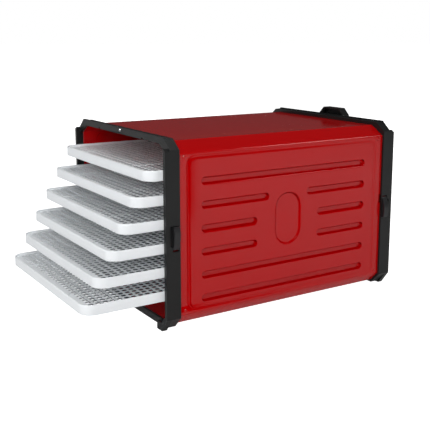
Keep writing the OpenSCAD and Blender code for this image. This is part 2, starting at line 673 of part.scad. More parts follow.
// Leads from the inlet to the terminal block and the switch, and on to the thermostat and motor.
// Each runs square to the last; a run is given by its start, its axis (0 X, 1 Y, 2 Z) and its length.
lead_r = 1.1;
lead_y = plate_y + 2;
module run(start, axis, len) {
  low = [for (i = [0:2]) i == axis ? min(start[i], start[i] + len) : start[i]];
  translate(low) rotate([axis == 1 ? -90 : 0, axis == 0 ? 90 : 0, 0]) cylinder(r = lead_r, h = abs(len));
}
module internal_leads() color("sienna") {
  pin_z = inlet_z - 2;
  pin_back = cover_y - 19.1;
  run([-7, pin_back, pin_z], 1, lead_y - lead_r - pin_back);
  run([-7 + lead_r, lead_y, pin_z], 0, -38 - 2 * lead_r);
  run([-45, lead_y, pin_z - lead_r], 2, 65.9 - pin_z + lead_r);
  run([7, pin_back, pin_z], 1, lead_y - lead_r - pin_back);
  run([7 - lead_r, lead_y, pin_z], 0, switch_x - 7 + 2 * lead_r);
  run([switch_x, lead_y - lead_r, pin_z], 1, cover_y - 15.1 - lead_y + lead_r);
  run([-54, lead_y, 65.9], 2, -9.9 - lead_r);
  run([-54 + lead_r, lead_y, 56], 0, -21 - 2 * lead_r);
  run([-75, lead_y - lead_r, 56], 1, cover_y - cover_t - 15.1 - lead_y + lead_r);
  run([-36, lead_y, 80.1], 2, 20 + lead_r);
  run([-36 - lead_r, lead_y, 100], 0, 3.8 + lead_r);
}

casing_wrap();
base_pan();
panel_rivets();
front_frame();
rear_frame();
frame_screws();
front_left_catch();
front_right_catch();
rear_left_catch();
rear_right_catch();
catch_pins();
tray_1();
tray_2();
tray_3();
tray_4();
tray_5();
tray_6();
fan_guard();
heater_board();
heater_coil();
thermal_cutout();
fan_impeller();
fan_shaft();
motor_rotor();
motor_stack();
motor_winding();
motor_bracket();
shaft_bushes();
motor_screws();
rear_cover();
grip_hood();
cover_screws();
thermostat_body();
thermostat_spindle();
thermostat_knob();
switch_housing();
switch_rocker();
indicator_lens();
mains_inlet();
inlet_pins();
terminal_block();
internal_leads();
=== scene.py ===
"""Food dehydrator: red steel tunnel between black end frames, six white trays, fan and heater behind."""

import json
import math

import bmesh
import bpy
import numpy as np
from mathutils import Matrix, Vector


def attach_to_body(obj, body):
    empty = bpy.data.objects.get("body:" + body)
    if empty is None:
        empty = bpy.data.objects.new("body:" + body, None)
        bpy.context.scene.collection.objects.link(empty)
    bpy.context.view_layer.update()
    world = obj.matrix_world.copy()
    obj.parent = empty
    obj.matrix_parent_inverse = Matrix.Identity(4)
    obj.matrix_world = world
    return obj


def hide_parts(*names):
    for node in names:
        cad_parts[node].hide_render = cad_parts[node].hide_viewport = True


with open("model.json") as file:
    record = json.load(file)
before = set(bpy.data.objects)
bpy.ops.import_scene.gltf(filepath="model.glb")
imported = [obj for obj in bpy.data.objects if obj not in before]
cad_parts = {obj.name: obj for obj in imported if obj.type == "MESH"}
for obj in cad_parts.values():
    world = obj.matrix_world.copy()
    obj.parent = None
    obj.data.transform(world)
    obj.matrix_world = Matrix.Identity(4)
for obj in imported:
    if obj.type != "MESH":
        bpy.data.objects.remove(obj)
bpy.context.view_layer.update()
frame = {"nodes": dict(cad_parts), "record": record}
MM = 0.001

# ---- camera ----
# The lens and the centre's shift are shares of the frame's width.
VIEW_AZIMUTH = math.radians(56.34)
VIEW_ELEVATION = math.radians(10.91)
VIEW_ROLL = math.radians(0.25)
VIEW_DISTANCE = 1.3243
VIEW_TARGET = Vector((0.06172, -0.0255, 0.18997))
FOCAL_SHARE = 1.813535
CENTRE_SHIFT = (-0.05814, -0.069767)
SENSOR_MM = 36


def make_camera():
    """A camera that looks from VIEW_AZIMUTH and VIEW_ELEVATION at VIEW_TARGET, rolled by VIEW_ROLL."""
    sin_a, cos_a = math.sin(VIEW_AZIMUTH), math.cos(VIEW_AZIMUTH)
    sin_e, cos_e = math.sin(VIEW_ELEVATION), math.cos(VIEW_ELEVATION)
    back = Vector((sin_a * cos_e, -cos_a * cos_e, sin_e))
    right = Vector((cos_a, sin_a, 0))
    up = back.cross(right)
    sin_r, cos_r = math.sin(VIEW_ROLL), math.cos(VIEW_ROLL)
    right, up = cos_r * right + sin_r * up, cos_r * up - sin_r * right
    data = bpy.data.cameras.new("camera")
    data.sensor_width = SENSOR_MM
    data.lens = FOCAL_SHARE * SENSOR_MM
    data.shift_x, data.shift_y = CENTRE_SHIFT
    camera = bpy.data.objects.new("camera", data)
    bpy.context.scene.collection.objects.link(camera)
    turn = Matrix((right, up, back)).transposed().to_4x4()
    camera.matrix_world = Matrix.Translation(VIEW_TARGET + back * VIEW_DISTANCE) @ turn
    bpy.context.scene.camera = camera


make_camera()
bpy.context.scene.view_settings.view_transform = "Standard"


# ---- materials ----
def srgb(text):
    """An sRGB hex colour as linear RGBA."""
    parts = [int(text[i:i + 2], 16) / 255 for i in (0, 2, 4)]
    return tuple(p / 12.92 if p <= 0.04045 else ((p + 0.055) / 1.055) ** 2.4 for p in parts) + (1.0,)


def add_node(tree, kind, values=None, links=None, **properties):
    """Adds a node; values sets its inputs, links feeds them and properties sets its attributes."""
    made = tree.nodes.new(kind)
    for name, value in properties.items():
        setattr(made, name, value)
    for socket, value in (values or {}).items():
        made.inputs[socket].default_value = value
    for socket, source in (links or {}).items():
        tree.links.new(source, made.inputs[socket])
    return made


# the painted shade of marked hollows grows darker towards +X, +Y and the floor, over this stretch in metres
SHADE_DEEPENS_TOWARDS = (1.0, 0.8, -0.5)
SHADE_DEEPENS_OVER = (-0.42, -0.12)


def surface(name, colour, roughness, metallic=0.0, second=None, patch=30.0, grain=None, grain_depth=0.0,
            rough_spread=0.0, coat=0.0, clear=0.0, shine=0.5, painted_shade=None):
    """A finish with two close colours in patches of patch mm, and a bump of grain mm and grain_depth mm.

    The last argument gives the two colours of a shade painted into marked hollows, far from the corner that
    faces the viewer and near it. A mark up to 0.5 paints the shine out, and from there to 1 it brings in the
    painted shade's colour.
    """
    material = bpy.data.materials.new(name)
    material.use_nodes = True
    tree = material.node_tree
    tree.nodes.clear()
    place = add_node(tree, "ShaderNodeTexCoord").outputs["Object"]
    links = {}
    cloud = add_node(tree, "ShaderNodeTexNoise", {"Scale": 1 / (patch * MM), "Detail": 3.0},
                     {"Vector": place})
    if second:
        mix = add_node(tree, "ShaderNodeMix", {6: srgb(colour), 7: srgb(second)},
                       {0: cloud.outputs["Fac"]}, data_type="RGBA")
        links["Base Color"] = mix.outputs[2]
    if painted_shade:
        marked = add_node(tree, "ShaderNodeAttribute", attribute_name="painted_shade").outputs["Fac"]
        slant = add_node(tree, "ShaderNodeVectorMath", {1: SHADE_DEEPENS_TOWARDS}, {0: place},
                         operation="DOT_PRODUCT")
        depth = add_node(tree, "ShaderNodeMapRange", {1: SHADE_DEEPENS_OVER[0], 2: SHADE_DEEPENS_OVER[1]},
                         {0: slant.outputs["Value"]})
        dark = add_node(tree, "ShaderNodeMix", {6: srgb(painted_shade[0]), 7: srgb(painted_shade[1])},
                        {0: depth.outputs[0]}, data_type="RGBA")
        deep = add_node(tree, "ShaderNodeMapRange", {1: 0.5}, {0: marked})
        shade = add_node(tree, "ShaderNodeMix", data_type="RGBA",
                         links={0: deep.outputs[0], 6: links["Base Color"], 7: dark.outputs[2]})
        links["Base Color"] = shade.outputs[2]
        painted_out_sheen = add_node(tree, "ShaderNodeMapRange", {2: 0.5, 3: shine, 4: 0.0}, {0: marked})
        links["Specular IOR Level"] = painted_out_sheen.outputs[0]
    if rough_spread:
        ends = {3: roughness - rough_spread, 4: roughness + rough_spread}
        spread = add_node(tree, "ShaderNodeMapRange", ends, {0: cloud.outputs["Fac"]})
        links["Roughness"] = spread.outputs[0]
    if grain:
        fine = add_node(tree, "ShaderNodeTexNoise", {"Scale": 1 / (grain * MM), "Detail": 2.0},
                        {"Vector": place})
        bump = add_node(tree, "ShaderNodeBump", {"Strength": 1.0, "Distance": grain_depth * MM},
                        {"Height": fine.outputs["Fac"]})
        links["Normal"] = bump.outputs[0]
    values = {"Base Color": srgb(colour), "Roughness": roughness, "Metallic": metallic, "Coat Weight": coat,
              "Coat Roughness": 0.06, "Transmission Weight": clear, "Specular IOR Level": shine}
    shader = add_node(tree, "ShaderNodeBsdfPrincipled", values, links)
    add_node(tree, "ShaderNodeOutputMaterial", links={"Surface": shader.outputs[0]})
    return material


MATERIALS = {
    # wet-looking gloss with a faint ripple that bends the reflections; the marked hollows take a dark-red
    # painted shade and lose their sheen
    "red_enamel": surface("red_enamel", "AE0003", 0.13, second="A60002", patch=90, grain=14, grain_depth=0.02,
                          rough_spread=0.03, painted_shade=("520000", "520000")),
    # satin charcoal with a fine moulded texture
    "black_moulding": surface("black_moulding", "121313", 0.36, shine=0.4, second="0F1010", patch=25,
                              grain=0.6, grain_depth=0.03, rough_spread=0.06),
    # a shade lighter and smoother than the frames
    "black_clip": surface("black_clip", "1F1F21", 0.33, second="1B1B1D", patch=12, grain=0.8,
                          grain_depth=0.01, rough_spread=0.05),
    # crisp bright screw heads and pins
    "bright_steel": surface("bright_steel", "C9CACD", 0.22, metallic=1.0, second="BEBFC2", patch=4,
                            rough_spread=0.06),
    # milky white with a soft sheen; marked hole walls and bars take a grey painted shade, darker towards +X
    # and +Y
    "tray_plastic": surface("tray_plastic", "E9ECEE", 0.38, second="E4E7EA", patch=60, grain=1.2,
                            grain_depth=0.01, rough_spread=0.05, painted_shade=("CDD1D4", "3E4246")),
    # dull zinc with cloudy spangle
    "zinc_sheet": surface("zinc_sheet", "B4B7BB", 0.36, metallic=1.0, second="9EA1A6", patch=7,
                          rough_spread=0.12),
    # brown-grey speckled board
    "mica_board": surface("mica_board", "A89A78", 0.6, second="8E7F5E", patch=2, grain=0.8, grain_depth=0.05),
    # dark oxidised wire
    "heater_wire": surface("heater_wire", "6E6862", 0.42, metallic=1.0, second="5A534C", patch=6,
                           rough_spread=0.1),
    # mid-grey filled plastic
    "grey_plastic": surface("grey_plastic", "5C5F62", 0.5, second="53565A", patch=10, grain=0.7,
                            grain_depth=0.02),
    # dark steel edge-on, rougher than the sheet parts
    "lamination_steel": surface("lamination_steel", "74777C", 0.48, metallic=1.0, second="5F6267", patch=5,
                                grain=0.6, grain_depth=0.05),
    # varnished orange-brown wire
    "copper_winding": surface("copper_winding", "B4682F", 0.3, metallic=0.8, second="9A5626", patch=3,
                              grain=0.5, grain_depth=0.08),
    # warm porous bearing metal
    "bronze": surface("bronze", "A9813F", 0.4, metallic=1.0, second="96702F", patch=2),
    # heat-resistant cream plastic
    "ivory_plastic": surface("ivory_plastic", "E8DFC2", 0.42, second="E0D6B6", patch=12),
    # translucent-looking red rocker
    "red_plastic": surface("red_plastic", "A8120C", 0.2, second="98100A", patch=6, coat=0.3),
    # small clear amber dome
    "amber_lens": surface("amber_lens", "E8891E", 0.12, second="DE7C12", patch=3, clear=0.35),
    # brown silicone jacket
    "lead_jacket": surface("lead_jacket", "7A4326", 0.5, second="6B3A20", patch=9),
}


# ---- mesh helpers ----
def smooth_step(t):
    """0 to 1 with level ends."""
    t = np.clip(t, 0, 1)
    return t * t * (3 - 2 * t)


def grid_faces(rows, cols, close_rows=False, close_cols=False):
    """Quads between neighbours of a rows x cols lattice, closed round in either direction if asked."""
    i, j = np.meshgrid(np.arange(rows - (not close_rows)), np.arange(cols - (not close_cols)), indexing="ij")
    down, over = (i + 1) % rows, (j + 1) % cols
    quads = [i * cols + j, i * cols + over, down * cols + over, down * cols + j]
    return np.stack(quads, axis=-1).reshape(-1, 4)


def weld(points, faces):
    """Joins points that lie within a hundredth of a millimetre."""
    keys = np.round(points * 100).astype(np.int64)
    _, first, index = np.unique(keys, axis=0, return_index=True, return_inverse=True)
    return points[first], index.reshape(-1)[faces]


def mesh_object(name, points, faces, node, sharp=35, painted_shade=None):
    """An object from points in mm and quads; it stands for the CAD node, rides its body and takes its slot.

    The last argument marks, face by face, the walls of small holes and other hollows that take a painted
    shade.
    """
    faces = np.asarray(faces)
    count, corners = faces.shape
    mesh = bpy.data.meshes.new(name)
    mesh.vertices.add(len(points))
    mesh.vertices.foreach_set("co", (np.asarray(points, dtype=float) * MM).ravel())
    mesh.loops.add(count * corners)
    mesh.loops.foreach_set("vertex_index", faces.ravel())
    mesh.polygons.add(count)
    mesh.polygons.foreach_set("loop_start", np.arange(count) * corners)
    mesh.update(calc_edges=True)
    mesh.validate()
    mesh.shade_smooth()
    mesh.set_sharp_from_angle(angle=math.radians(sharp))
    if painted_shade is not None:
        mesh.attributes.new("painted_shade", "FLOAT", "FACE").data.foreach_set("value", painted_shade.astype(np.float32))
    made = bpy.data.objects.new(name, mesh)
    bpy.context.scene.collection.objects.link(made)
    attach(made, node)
    return made


def attach(made, node):
    """Gives a piece its material, its body and its slot, and hides the CAD node it stands for."""
    made.data.materials.clear()
    made.data.materials.append(MATERIALS[SLOT_OF[node]])
    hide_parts(node)
    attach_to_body(made, BODY_OF[node])


def solidify(made, thickness):
    """Thickens a sheet inwards by thickness mm."""
    skin = made.modifiers.new("sheet", "SOLIDIFY")
    skin.thickness = thickness * MM
    skin.offset = -1
    skin.use_even_offset = True


def softened(node, width, segments=2, angle=32):
    """The CAD node with its flat faces joined up and its edges rounded by width mm."""
    source = frame["nodes"][node]
    shape = bmesh.new()
    shape.from_mesh(source.data)
    bmesh.ops.remove_doubles(shape, verts=shape.verts, dist=2e-6)
    bmesh.ops.dissolve_limit(shape, angle_limit=math.radians(0.6), verts=shape.verts, edges=shape.edges)
    mesh = bpy.data.meshes.new(node + "_soft")
    shape.to_mesh(mesh)
    shape.free()
    mesh.shade_smooth()
    mesh.set_sharp_from_angle(angle=math.radians(angle))
    made = bpy.data.objects.new(node + "_soft", mesh)
    bpy.context.scene.collection.objects.link(made)
    rounding = made.modifiers.new("edges", "BEVEL")
    rounding.width = width * MM
    rounding.segments = segments
    rounding.limit_method = "ANGLE"
    rounding.angle_limit = math.radians(angle)
    rounding.harden_normals = True
    attach(made, node)
    return made


def rounded_path(corners, radius, steps=4):
    """A polyline through the corners with each inner corner replaced by an arc of that radius."""
    points = [np.array(corners[0], dtype=float)]
    for before, here, after in zip(corners, corners[1:], corners[2:]):
        here = np.array(here, dtype=float)
        a = np.array(before) - here
        b = np.array(after) - here
        a, b = a / np.hypot(*a), b / np.hypot(*b)
        half = math.acos(np.clip(np.dot(a, b), -1, 1)) / 2
        reach = radius / math.tan(half)
        centre = here + (a + b) / np.hypot(*(a + b)) * radius / math.sin(half)
        start, end = here + a * reach - centre, here + b * reach - centre
        sweep = math.acos(np.clip(np.dot(start, end) / radius ** 2, -1, 1))
        for k in range(steps + 1):
            t = k / steps
            weight = (math.sin((1 - t) * sweep) * start + math.sin(t * sweep) * end) / math.sin(sweep)
            points.append(centre + weight)
    points.append(np.array(corners[-1], dtype=float))
    return np.array(points)


def resample(path, steps):
    """Adds points to a polyline so that no stretch is longer than steps."""
    parts = []
    for a, b in zip(path[:-1], path[1:]):
        count = max(1, math.ceil(np.hypot(*(b - a)) / steps))
        parts.append(a + (b - a) * (np.arange(count) / count)[:, None])
    return np.concatenate(parts + [path[-1:]])


def lattice(*pieces):
    """Sorted positions from (centre, half width, step) triples, with near doubles left out."""
    spots = np.concatenate([np.arange(c - h, c + h + s / 2, s) for c, h, s in pieces])
    spots = np.unique(np.round(spots, 3))
    keep = np.concatenate([[True], np.diff(spots) > 0.35])
    return spots[keep]


# ---- what each node rides and is made of ----
RECORD = frame["record"]
BODY_OF = {node: body for body, nodes in RECORD["behaviour"]["bodies"].items() for node in nodes}
SLOT_OF = {entry["node"]: entry["material_slot"] for entry in RECORD["subparts"]}

# ---- casing ----
CASING_X = 164.2
CASING_Y = 215.7
CASING_TOP = 286.4
SHOULDER_W = 27.5
SHOULDER_H = 15.8
HEM = 17.5
LAP_Z = 23.5
SHEET = 0.8
CATCH_Z = (130.0, 160.0)
ROW_Z = [44 + 36.5 * k for k in range(6)]
ROW_GAP = [0, 0, 60.5, 60.5, 38, 0]
RIB_END = 162.5
RIB_HALF = 6.2
RIB_WALL = 2.8
RIB_DEPTH = 5.6
# the ribs' painted shade reaches this far into their depth, in mm
RIB_EDGE = 2.4
# past this distance from the middle, the sheet level with each catch takes a painted shade
BEHIND_CATCH = 203.0
BEAD_Y = 185.0
BEAD_Z = (30.0, 264.0)
BEAD_CORNER = 12.0
BEAD_DEPTH = 0.8
BEAD_HALF = 3.8
BADGE_Z = 149.85
BADGE_W = 50.0
BADGE_H = 86.0
BADGE_DEPTH = 2.4
BEND_R = 3.0
BEND_CLEAR = 2.7


def stadium(y, z, y0, y1, zc, half):
    """Distance in from the outline of a bar with round ends between y0 and y1."""
    over = np.clip(y, y0 + half, y1 - half)
    return half - np.hypot(y - over, z - zc)


def rounded_box(y, z, half_y, z0, z1, radius):
    """Signed distance to a rounded rectangle, negative inside."""
    qy = np.abs(y) - (half_y - radius)
    qz = np.abs(z - (z0 + z1) / 2) - ((z1 - z0) / 2 - radius)
    return np.hypot(np.maximum(qy, 0), np.maximum(qz, 0)) + np.minimum(np.maximum(qy, qz), 0) - radius


def pressing(y, z):
    """How far the side is pressed in at (y, z): tray ribs, a border bead and a plain badge.

    A rib falls by RIB_DEPTH over RIB_WALL from its outline, the bead is a smooth groove along a rounded
    rectangle that fades towards the rear, and the badge is a shallow oval with a rounded rim.
    """
    depth = np.zeros(np.broadcast(y, z).shape)
    for zc, gap in zip(ROW_Z, ROW_GAP):
        spans = [(-RIB_END, RIB_END)] if not gap else [(-RIB_END, -gap), (gap, RIB_END)]
        for y0, y1 in spans:
            inside = stadium(y, z, y0, y1, zc, RIB_HALF)
            depth = np.maximum(depth, RIB_DEPTH * smooth_step(inside / RIB_WALL))
    away = np.abs(rounded_box(y, z, BEAD_Y, BEAD_Z[0], BEAD_Z[1], BEAD_CORNER))
    fade = 1.25 - smooth_step((y + BEAD_Y) / (2 * BEAD_Y))
    depth = depth + BEAD_DEPTH * fade * (1 - smooth_step(away / BEAD_HALF))
    badge = -rounded_box(y, z, BADGE_W / 2, BADGE_Z - BADGE_H / 2, BADGE_Z + BADGE_H / 2, BADGE_W / 2 - 1)
    depth = np.maximum(depth, BADGE_DEPTH * smooth_step(badge / 2.6))
    return depth


def casing_painted_shade(y, z, depth):
    """The painted shade mark of each face of the wrap, from how deep its corners are pressed in."""
    level, along = z[1:, 1:], y[1:, 1:]
    rise = np.diff(z, axis=0)
    lean = -(np.diff(depth, axis=0) / np.where(np.abs(rise) < 0.01, 1e3, rise))[:, 1:]
    flank = (np.abs(np.diff(depth, axis=1)) / np.diff(y, axis=1))[1:]
    # painted shade: the outer part of the ribs' upper walls, and some of every upright flank, is darkened
    outer = np.clip((RIB_EDGE - np.minimum(depth[1:, 1:], depth[:-1, :-1])) / RIB_EDGE, 0, 1)
    dark = outer * (np.clip(lean / 1.2, 0, 1) + 0.6 * np.clip(flank / 0.25, 0, 1))
    # the sheen is painted out on the ribs' lower walls, beside the front post and along the bead's foot
    lower = np.clip(-lean, 0, 1)
    reach = along + BEAD_Y
    beside = smooth_step(1 - reach / 24) * (reach > 0) * smooth_step((level - 140) / 60) * (level < BEAD_Z[1])
    foot = smooth_step(1 - reach / 50) * (np.abs(level - BEAD_Z[0] - 3) < 5)
    painted_out_sheen = 0.5 * np.maximum(np.maximum(beside, foot), lower)
    # painted shade: the sheet is darkened where it shows at the bottom of a catch's slot
    slot = (np.abs(along) > BEHIND_CATCH) & (np.abs(level - np.where(along < 0, *CATCH_Z)) < 8)
    return np.clip(np.maximum(np.maximum(dark, painted_out_sheen), slot), 0, 1)


def casing_skin():
    """The wrap: x and z follow the section path and y runs along it; the sides move in by pressing(y, z)."""
    rows = [(zc, h, s) for zc in ROW_Z for h, s in ((6.6, 0.66), (2.0, 1.0))]
    heights = lattice((147, 122, 4.0), *rows, (BEAD_Z[1], 5, 1.0), (BEAD_Z[0], 5, 1.0),
                      (BADGE_Z, BADGE_H / 2 + 1, 1.8))
    crease = CASING_TOP - SHOULDER_H
    heights = heights[(heights > LAP_Z + 0.4) & (heights < crease - BEND_CLEAR)]
    corners = [(CASING_X, crease - 4), (CASING_X, crease), (CASING_X - SHOULDER_W, CASING_TOP),
               (0, CASING_TOP)]
    upper = resample(rounded_path(corners, BEND_R)[1:], 14.0)
    side = np.stack([np.full(len(heights) + 1, CASING_X), np.concatenate([[LAP_Z], heights])], axis=1)
    right = np.concatenate([side, upper])
    left = right[::-1][1:] * np.array([-1, 1])
    path = np.concatenate([right, left])
    rib_ends = [RIB_END - 2.6] + [gap + 2.6 for gap in sorted(set(ROW_GAP) - {0})]
    ends = [(way * spot, 3.6, 0.66) for spot in rib_ends for way in (-1, 1)]
    along = lattice((0, 215.5, 6.0), *ends, (BEAD_Y, 5, 1.0), (-BEAD_Y, 5, 1.0), (0, BADGE_W / 2 + 1, 1.8))
    along = np.concatenate([[-CASING_Y], along[np.abs(along) < CASING_Y - 0.5], [CASING_Y]])
    x = np.repeat(path[:, :1], len(along), axis=1)
    z = np.repeat(path[:, 1:], len(along), axis=1)
    y = np.repeat(along[None, :], len(path), axis=0)
    x = x - np.sign(x) * np.where(z < crease - BEND_CLEAR, pressing(y, z), 0) * (np.abs(x) > CASING_X - 0.01)
    points = np.stack([x, y, z], axis=-1).reshape(-1, 3)
    faces = grid_faces(len(path), len(along))
    # how deep each corner is pressed, for the painted shade and painted-out sheen of the faces
    depth = np.where(z < crease - BEND_CLEAR, pressing(y, z), 0) * (np.abs(x) > CASING_X - 8)
    shade = casing_painted_shade(y, z, depth)
    made = mesh_object("casing_skin", points, faces, "casing_wrap", sharp=50, painted_shade=shade.ravel())
    solidify(made, SHEET)


def pan_skin():
    """The bottom sheet: its section path carried along y, with the lap tucked inside the wrap."""
    inner = CASING_X - SHEET - 0.05
    corners = [(inner, LAP_Z + 14), (inner, LAP_Z + 1.4), (CASING_X, LAP_Z - 0.4), (CASING_X - HEM, 6)]
    half = rounded_path(corners, 0.5, 2)
    bottom = rounded_path([tuple(half[-2]), (CASING_X - HEM, 6), (0, 6)], 3.0)
    right = np.concatenate([half[:-1], bottom[1:]])
    path = np.concatenate([right, right[::-1][1:] * np.array([-1, 1])])
    path = resample(path, 16.0)
    along = np.linspace(-CASING_Y, CASING_Y, 41)
    x = np.repeat(path[:, :1], len(along), axis=1)
    z = np.repeat(path[:, 1:], len(along), axis=1)
    y = np.repeat(along[None, :], len(path), axis=0)
    points = np.stack([x, y, z], axis=-1).reshape(-1, 3)
    made = mesh_object("pan_skin", points, grid_faces(len(path), len(along))[:, ::-1], "base_pan", sharp=50)
    solidify(made, SHEET)


# ---- trays ----
TRAY_W = 320.0
TRAY_L = 380.0
TRAY_H = 15.5
TRAY_R = 19.0
TRAY_WALL = 2.4
FLOOR_T = 1.8
FLOOR_DROP = 3.5
CELLS = (28, 32)
PITCH = (10.8, 11.2)
HOLE = (7.0, 7.0)
BAR_W = 1.8
BAR_RISE = 0.9
# how much of the painted shade the bars take
BAR_PAINTED_SHADE = 0.7
TRAY_FRONT = [-250.8 - 20.3 * k for k in range(6)]
TRAY_UNDER = [232.55 - 36.5 * k for k in range(6)]


def outline_points(inset, steps=8):
    """Points of the tray's rounded rectangle moved in by inset, anticlockwise, steps to each corner."""
    radius = TRAY_R - inset
    angles = np.linspace(0, math.pi / 2, steps + 1)
    centres = [(1, 1), (-1, 1), (-1, -1), (1, -1)]
    parts = []
    for quarter, (sx, sy) in enumerate(centres):
        turn = angles + quarter * math.pi / 2
        x = sx * (TRAY_W / 2 - TRAY_R) + radius * np.cos(turn)
        y = sy * (TRAY_L / 2 - TRAY_R) + radius * np.sin(turn)
        parts.append(np.stack([x, y], axis=1))
    return np.concatenate(parts)


def rim_shell():
    """The rim: a closed section, rounded at the top, carried round the rounded rectangle."""
    section = [(0.25, 0), (0, 0.4), (0, TRAY_H - 4.2), (0, TRAY_H - 1.0), (0.35, TRAY_H - 0.25),
               (1.0, TRAY_H), (TRAY_WALL - 0.9, TRAY_H), (TRAY_WALL - 0.25, TRAY_H - 0.25),
               (TRAY_WALL, TRAY_H - 0.9), (TRAY_WALL, 0.4), (TRAY_WALL - 0.25, 0)]
    rings = [np.column_stack([outline_points(inset), np.full(36, height)]) for inset, height in section]
    points = np.concatenate(rings)
    return points, grid_faces(len(section), 36, True, True)


def floor_shell():
    """The perforated floor: one cell with an eight-sided hole, repeated, and a margin out to the rim."""
    nx, ny = CELLS
    top, low = TRAY_H - FLOOR_DROP, TRAY_H - FLOOR_DROP - FLOOR_T
    turn = np.arange(8) * math.pi / 4 + math.pi / 4
    signs = np.sign(np.round(np.stack([np.cos(turn), np.sin(turn)], axis=1), 6))
    outer = signs * np.array(PITCH) / 2
    cut = np.where(np.arange(8) % 2 == 0, 0.9, 1.0)[:, None]
    hole = outer * np.array([HOLE[0] / PITCH[0], HOLE[1] / PITCH[1]]) * cut
    flat = np.concatenate([outer, hole, hole, outer])
    heights = np.repeat([top, top, low, low], 8)
    cell = np.column_stack([flat, heights])
    cell_faces = grid_faces(4, 8, False, True)
    i, j = np.meshgrid(np.arange(nx), np.arange(ny), indexing="ij")
    across, along = (i - (nx - 1) / 2) * PITCH[0], (j - (ny - 1) / 2) * PITCH[1]
    shift = np.stack([across, along, np.zeros_like(across)], axis=-1).reshape(-1, 1, 3)
    points = (cell[None] + shift).reshape(-1, 3)
    faces = (cell_faces[None] + 32 * np.arange(nx * ny)[:, None, None]).reshape(-1, 4)
    # the margin joins every half cell of the lattice's edge to the rim's inner side
    hx, hy = nx * PITCH[0] / 2, ny * PITCH[1] / 2
    across = np.linspace(-hx, hx, 2 * nx + 1)
    along = np.linspace(-hy, hy, 2 * ny + 1)
    east_west, north_south = np.full(2 * ny, hx), np.full(2 * nx, hy)
    edge = np.concatenate([np.stack([east_west, along[:-1]], 1), np.stack([across[:0:-1], north_south], 1),
                           np.stack([-east_west, along[:0:-1]], 1), np.stack([across[:-1], -north_south], 1)])
    core = np.array([TRAY_W / 2 - TRAY_R, TRAY_L / 2 - TRAY_R])
    near = np.clip(edge, -core, core)
    way = edge - near
    rim = near + way / np.hypot(way[:, 0], way[:, 1])[:, None] * (TRAY_R - TRAY_WALL + 0.5)
    ring = np.concatenate([edge, rim, rim, edge])
    levels = np.repeat([top, top, low, low], len(edge))
    margin = np.column_stack([ring, levels])
    margin_faces = grid_faces(4, len(edge), False, True)[:, ::-1] + len(points)
    # the hole walls take a painted shade, and the margin none
    walls = np.tile(np.repeat([0, 1, 0], 8), nx * ny)
    painted_shade = np.concatenate([walls, np.zeros(len(margin_faces))])
    points, faces = weld(np.concatenate([points, margin]), np.concatenate([faces, margin_faces]))
    return points, faces, painted_shade


def bar_shell(start, end, width, base, top):
    """A low bar with a rounded back between two points on the floor."""
    start, end = np.array(start, dtype=float), np.array(end, dtype=float)
    side = np.array([-(end - start)[1], (end - start)[0]]) / np.hypot(*(end - start))
    section = [(-0.5, base), (-0.5, top - 0.5), (-0.28, top), (0.28, top), (0.5, top - 0.5), (0.5, base)]
    rings = [np.array([*(spot + side * width * u), v]) for spot in (start, end) for u, v in section]
    sides = grid_faces(2, 6, False, True)
    caps = np.array([[0, 1, 4, 5], [1, 2, 3, 4], [11, 10, 7, 6], [10, 9, 8, 7]])
    return np.array(rings), np.concatenate([sides, caps])


def join_shells(shells):
    """One list of points and faces from several."""
    points, faces, used = [], [], 0
    for shell_points, shell_faces in shells:
        points.append(shell_points)
        faces.append(shell_faces + used)
        used += len(shell_points)
    return np.concatenate(points), np.concatenate(faces)


def trays():
    """Six trays from one shape, each moved to its place."""
    top = TRAY_H - FLOOR_DROP
    inner = (TRAY_W / 2 - TRAY_WALL + 0.4, TRAY_L / 2 - TRAY_WALL + 0.4)
    lines = [((-inner[0], 0), (inner[0], 0))]
    lines += [((x, -inner[1]), (x, inner[1])) for x in (-PITCH[0] * 8, PITCH[0] * 8)]
    bars = [bar_shell(start, end, BAR_W, top - 1.5, top + BAR_RISE) for start, end in lines]
    grid_points, grid_quads, grid_painted_shade = floor_shell()
    points, faces = join_shells([(grid_points, grid_quads), rim_shell()] + bars)
    painted_shade = np.zeros(len(faces))
    painted_shade[:len(grid_painted_shade)] = grid_painted_shade
    # the bars take a painted shade and lose their sheen, so they read as thin dark lines
    painted_shade[-sum(len(quads) for _, quads in bars):] = BAR_PAINTED_SHADE
    for k in range(6):
        place = np.array([0, TRAY_FRONT[k] + TRAY_L / 2, TRAY_UNDER[k]])
        mesh_object("tray_%d_moulding" % (k + 1), points + place, faces, "tray_%d" % (k + 1), painted_shade=painted_shade)


# ---- heater ----
COILS = ((34, 70), (50, 104), (66, 136))
COIL_R = 1.55
COIL_Y = 179.9
FAN_Z = 146.0
WIRE_R = 0.34


def heater_wires():
    """Three coils: a circle of the coil's radius turned round a ring of radius R, many turns to the ring,
    with the wire's own circle carried along that path."""
    shells = []
    for ring, turns in COILS:
        t = np.arange(turns * 9) / (turns * 9) * 2 * math.pi

        def spot(a):
            """The wire's middle line at ring angle a."""
            reach = ring + COIL_R * np.cos(turns * a)
            lift = COIL_R * np.sin(turns * a)
            return np.stack([reach * np.cos(a), COIL_Y + lift, FAN_Z + reach * np.sin(a)], axis=1)

        middle = spot(t)
        ahead = spot(t + 1e-4) - spot(t - 1e-4)
        ahead /= np.linalg.norm(ahead, axis=1)[:, None]
        out = np.cross(ahead, np.array([0.0, 1.0, 0.0]))
        out /= np.linalg.norm(out, axis=1)[:, None]
        other = np.cross(ahead, out)
        angles = np.arange(5) / 5 * 2 * math.pi
        around = out[:, None] * np.cos(angles)[None, :, None] + other[:, None] * np.sin(angles)[None, :, None]
        points = (middle[:, None] + WIRE_R * around).reshape(-1, 3)
        shells.append((points, grid_faces(len(t), 5, True, True)[:, ::-1]))
    points, faces = join_shells(shells)
    mesh_object("heater_wires", points, faces, "heater_coil", sharp=80)


# ---- build ----
casing_skin()
pan_skin()
trays()
heater_wires()

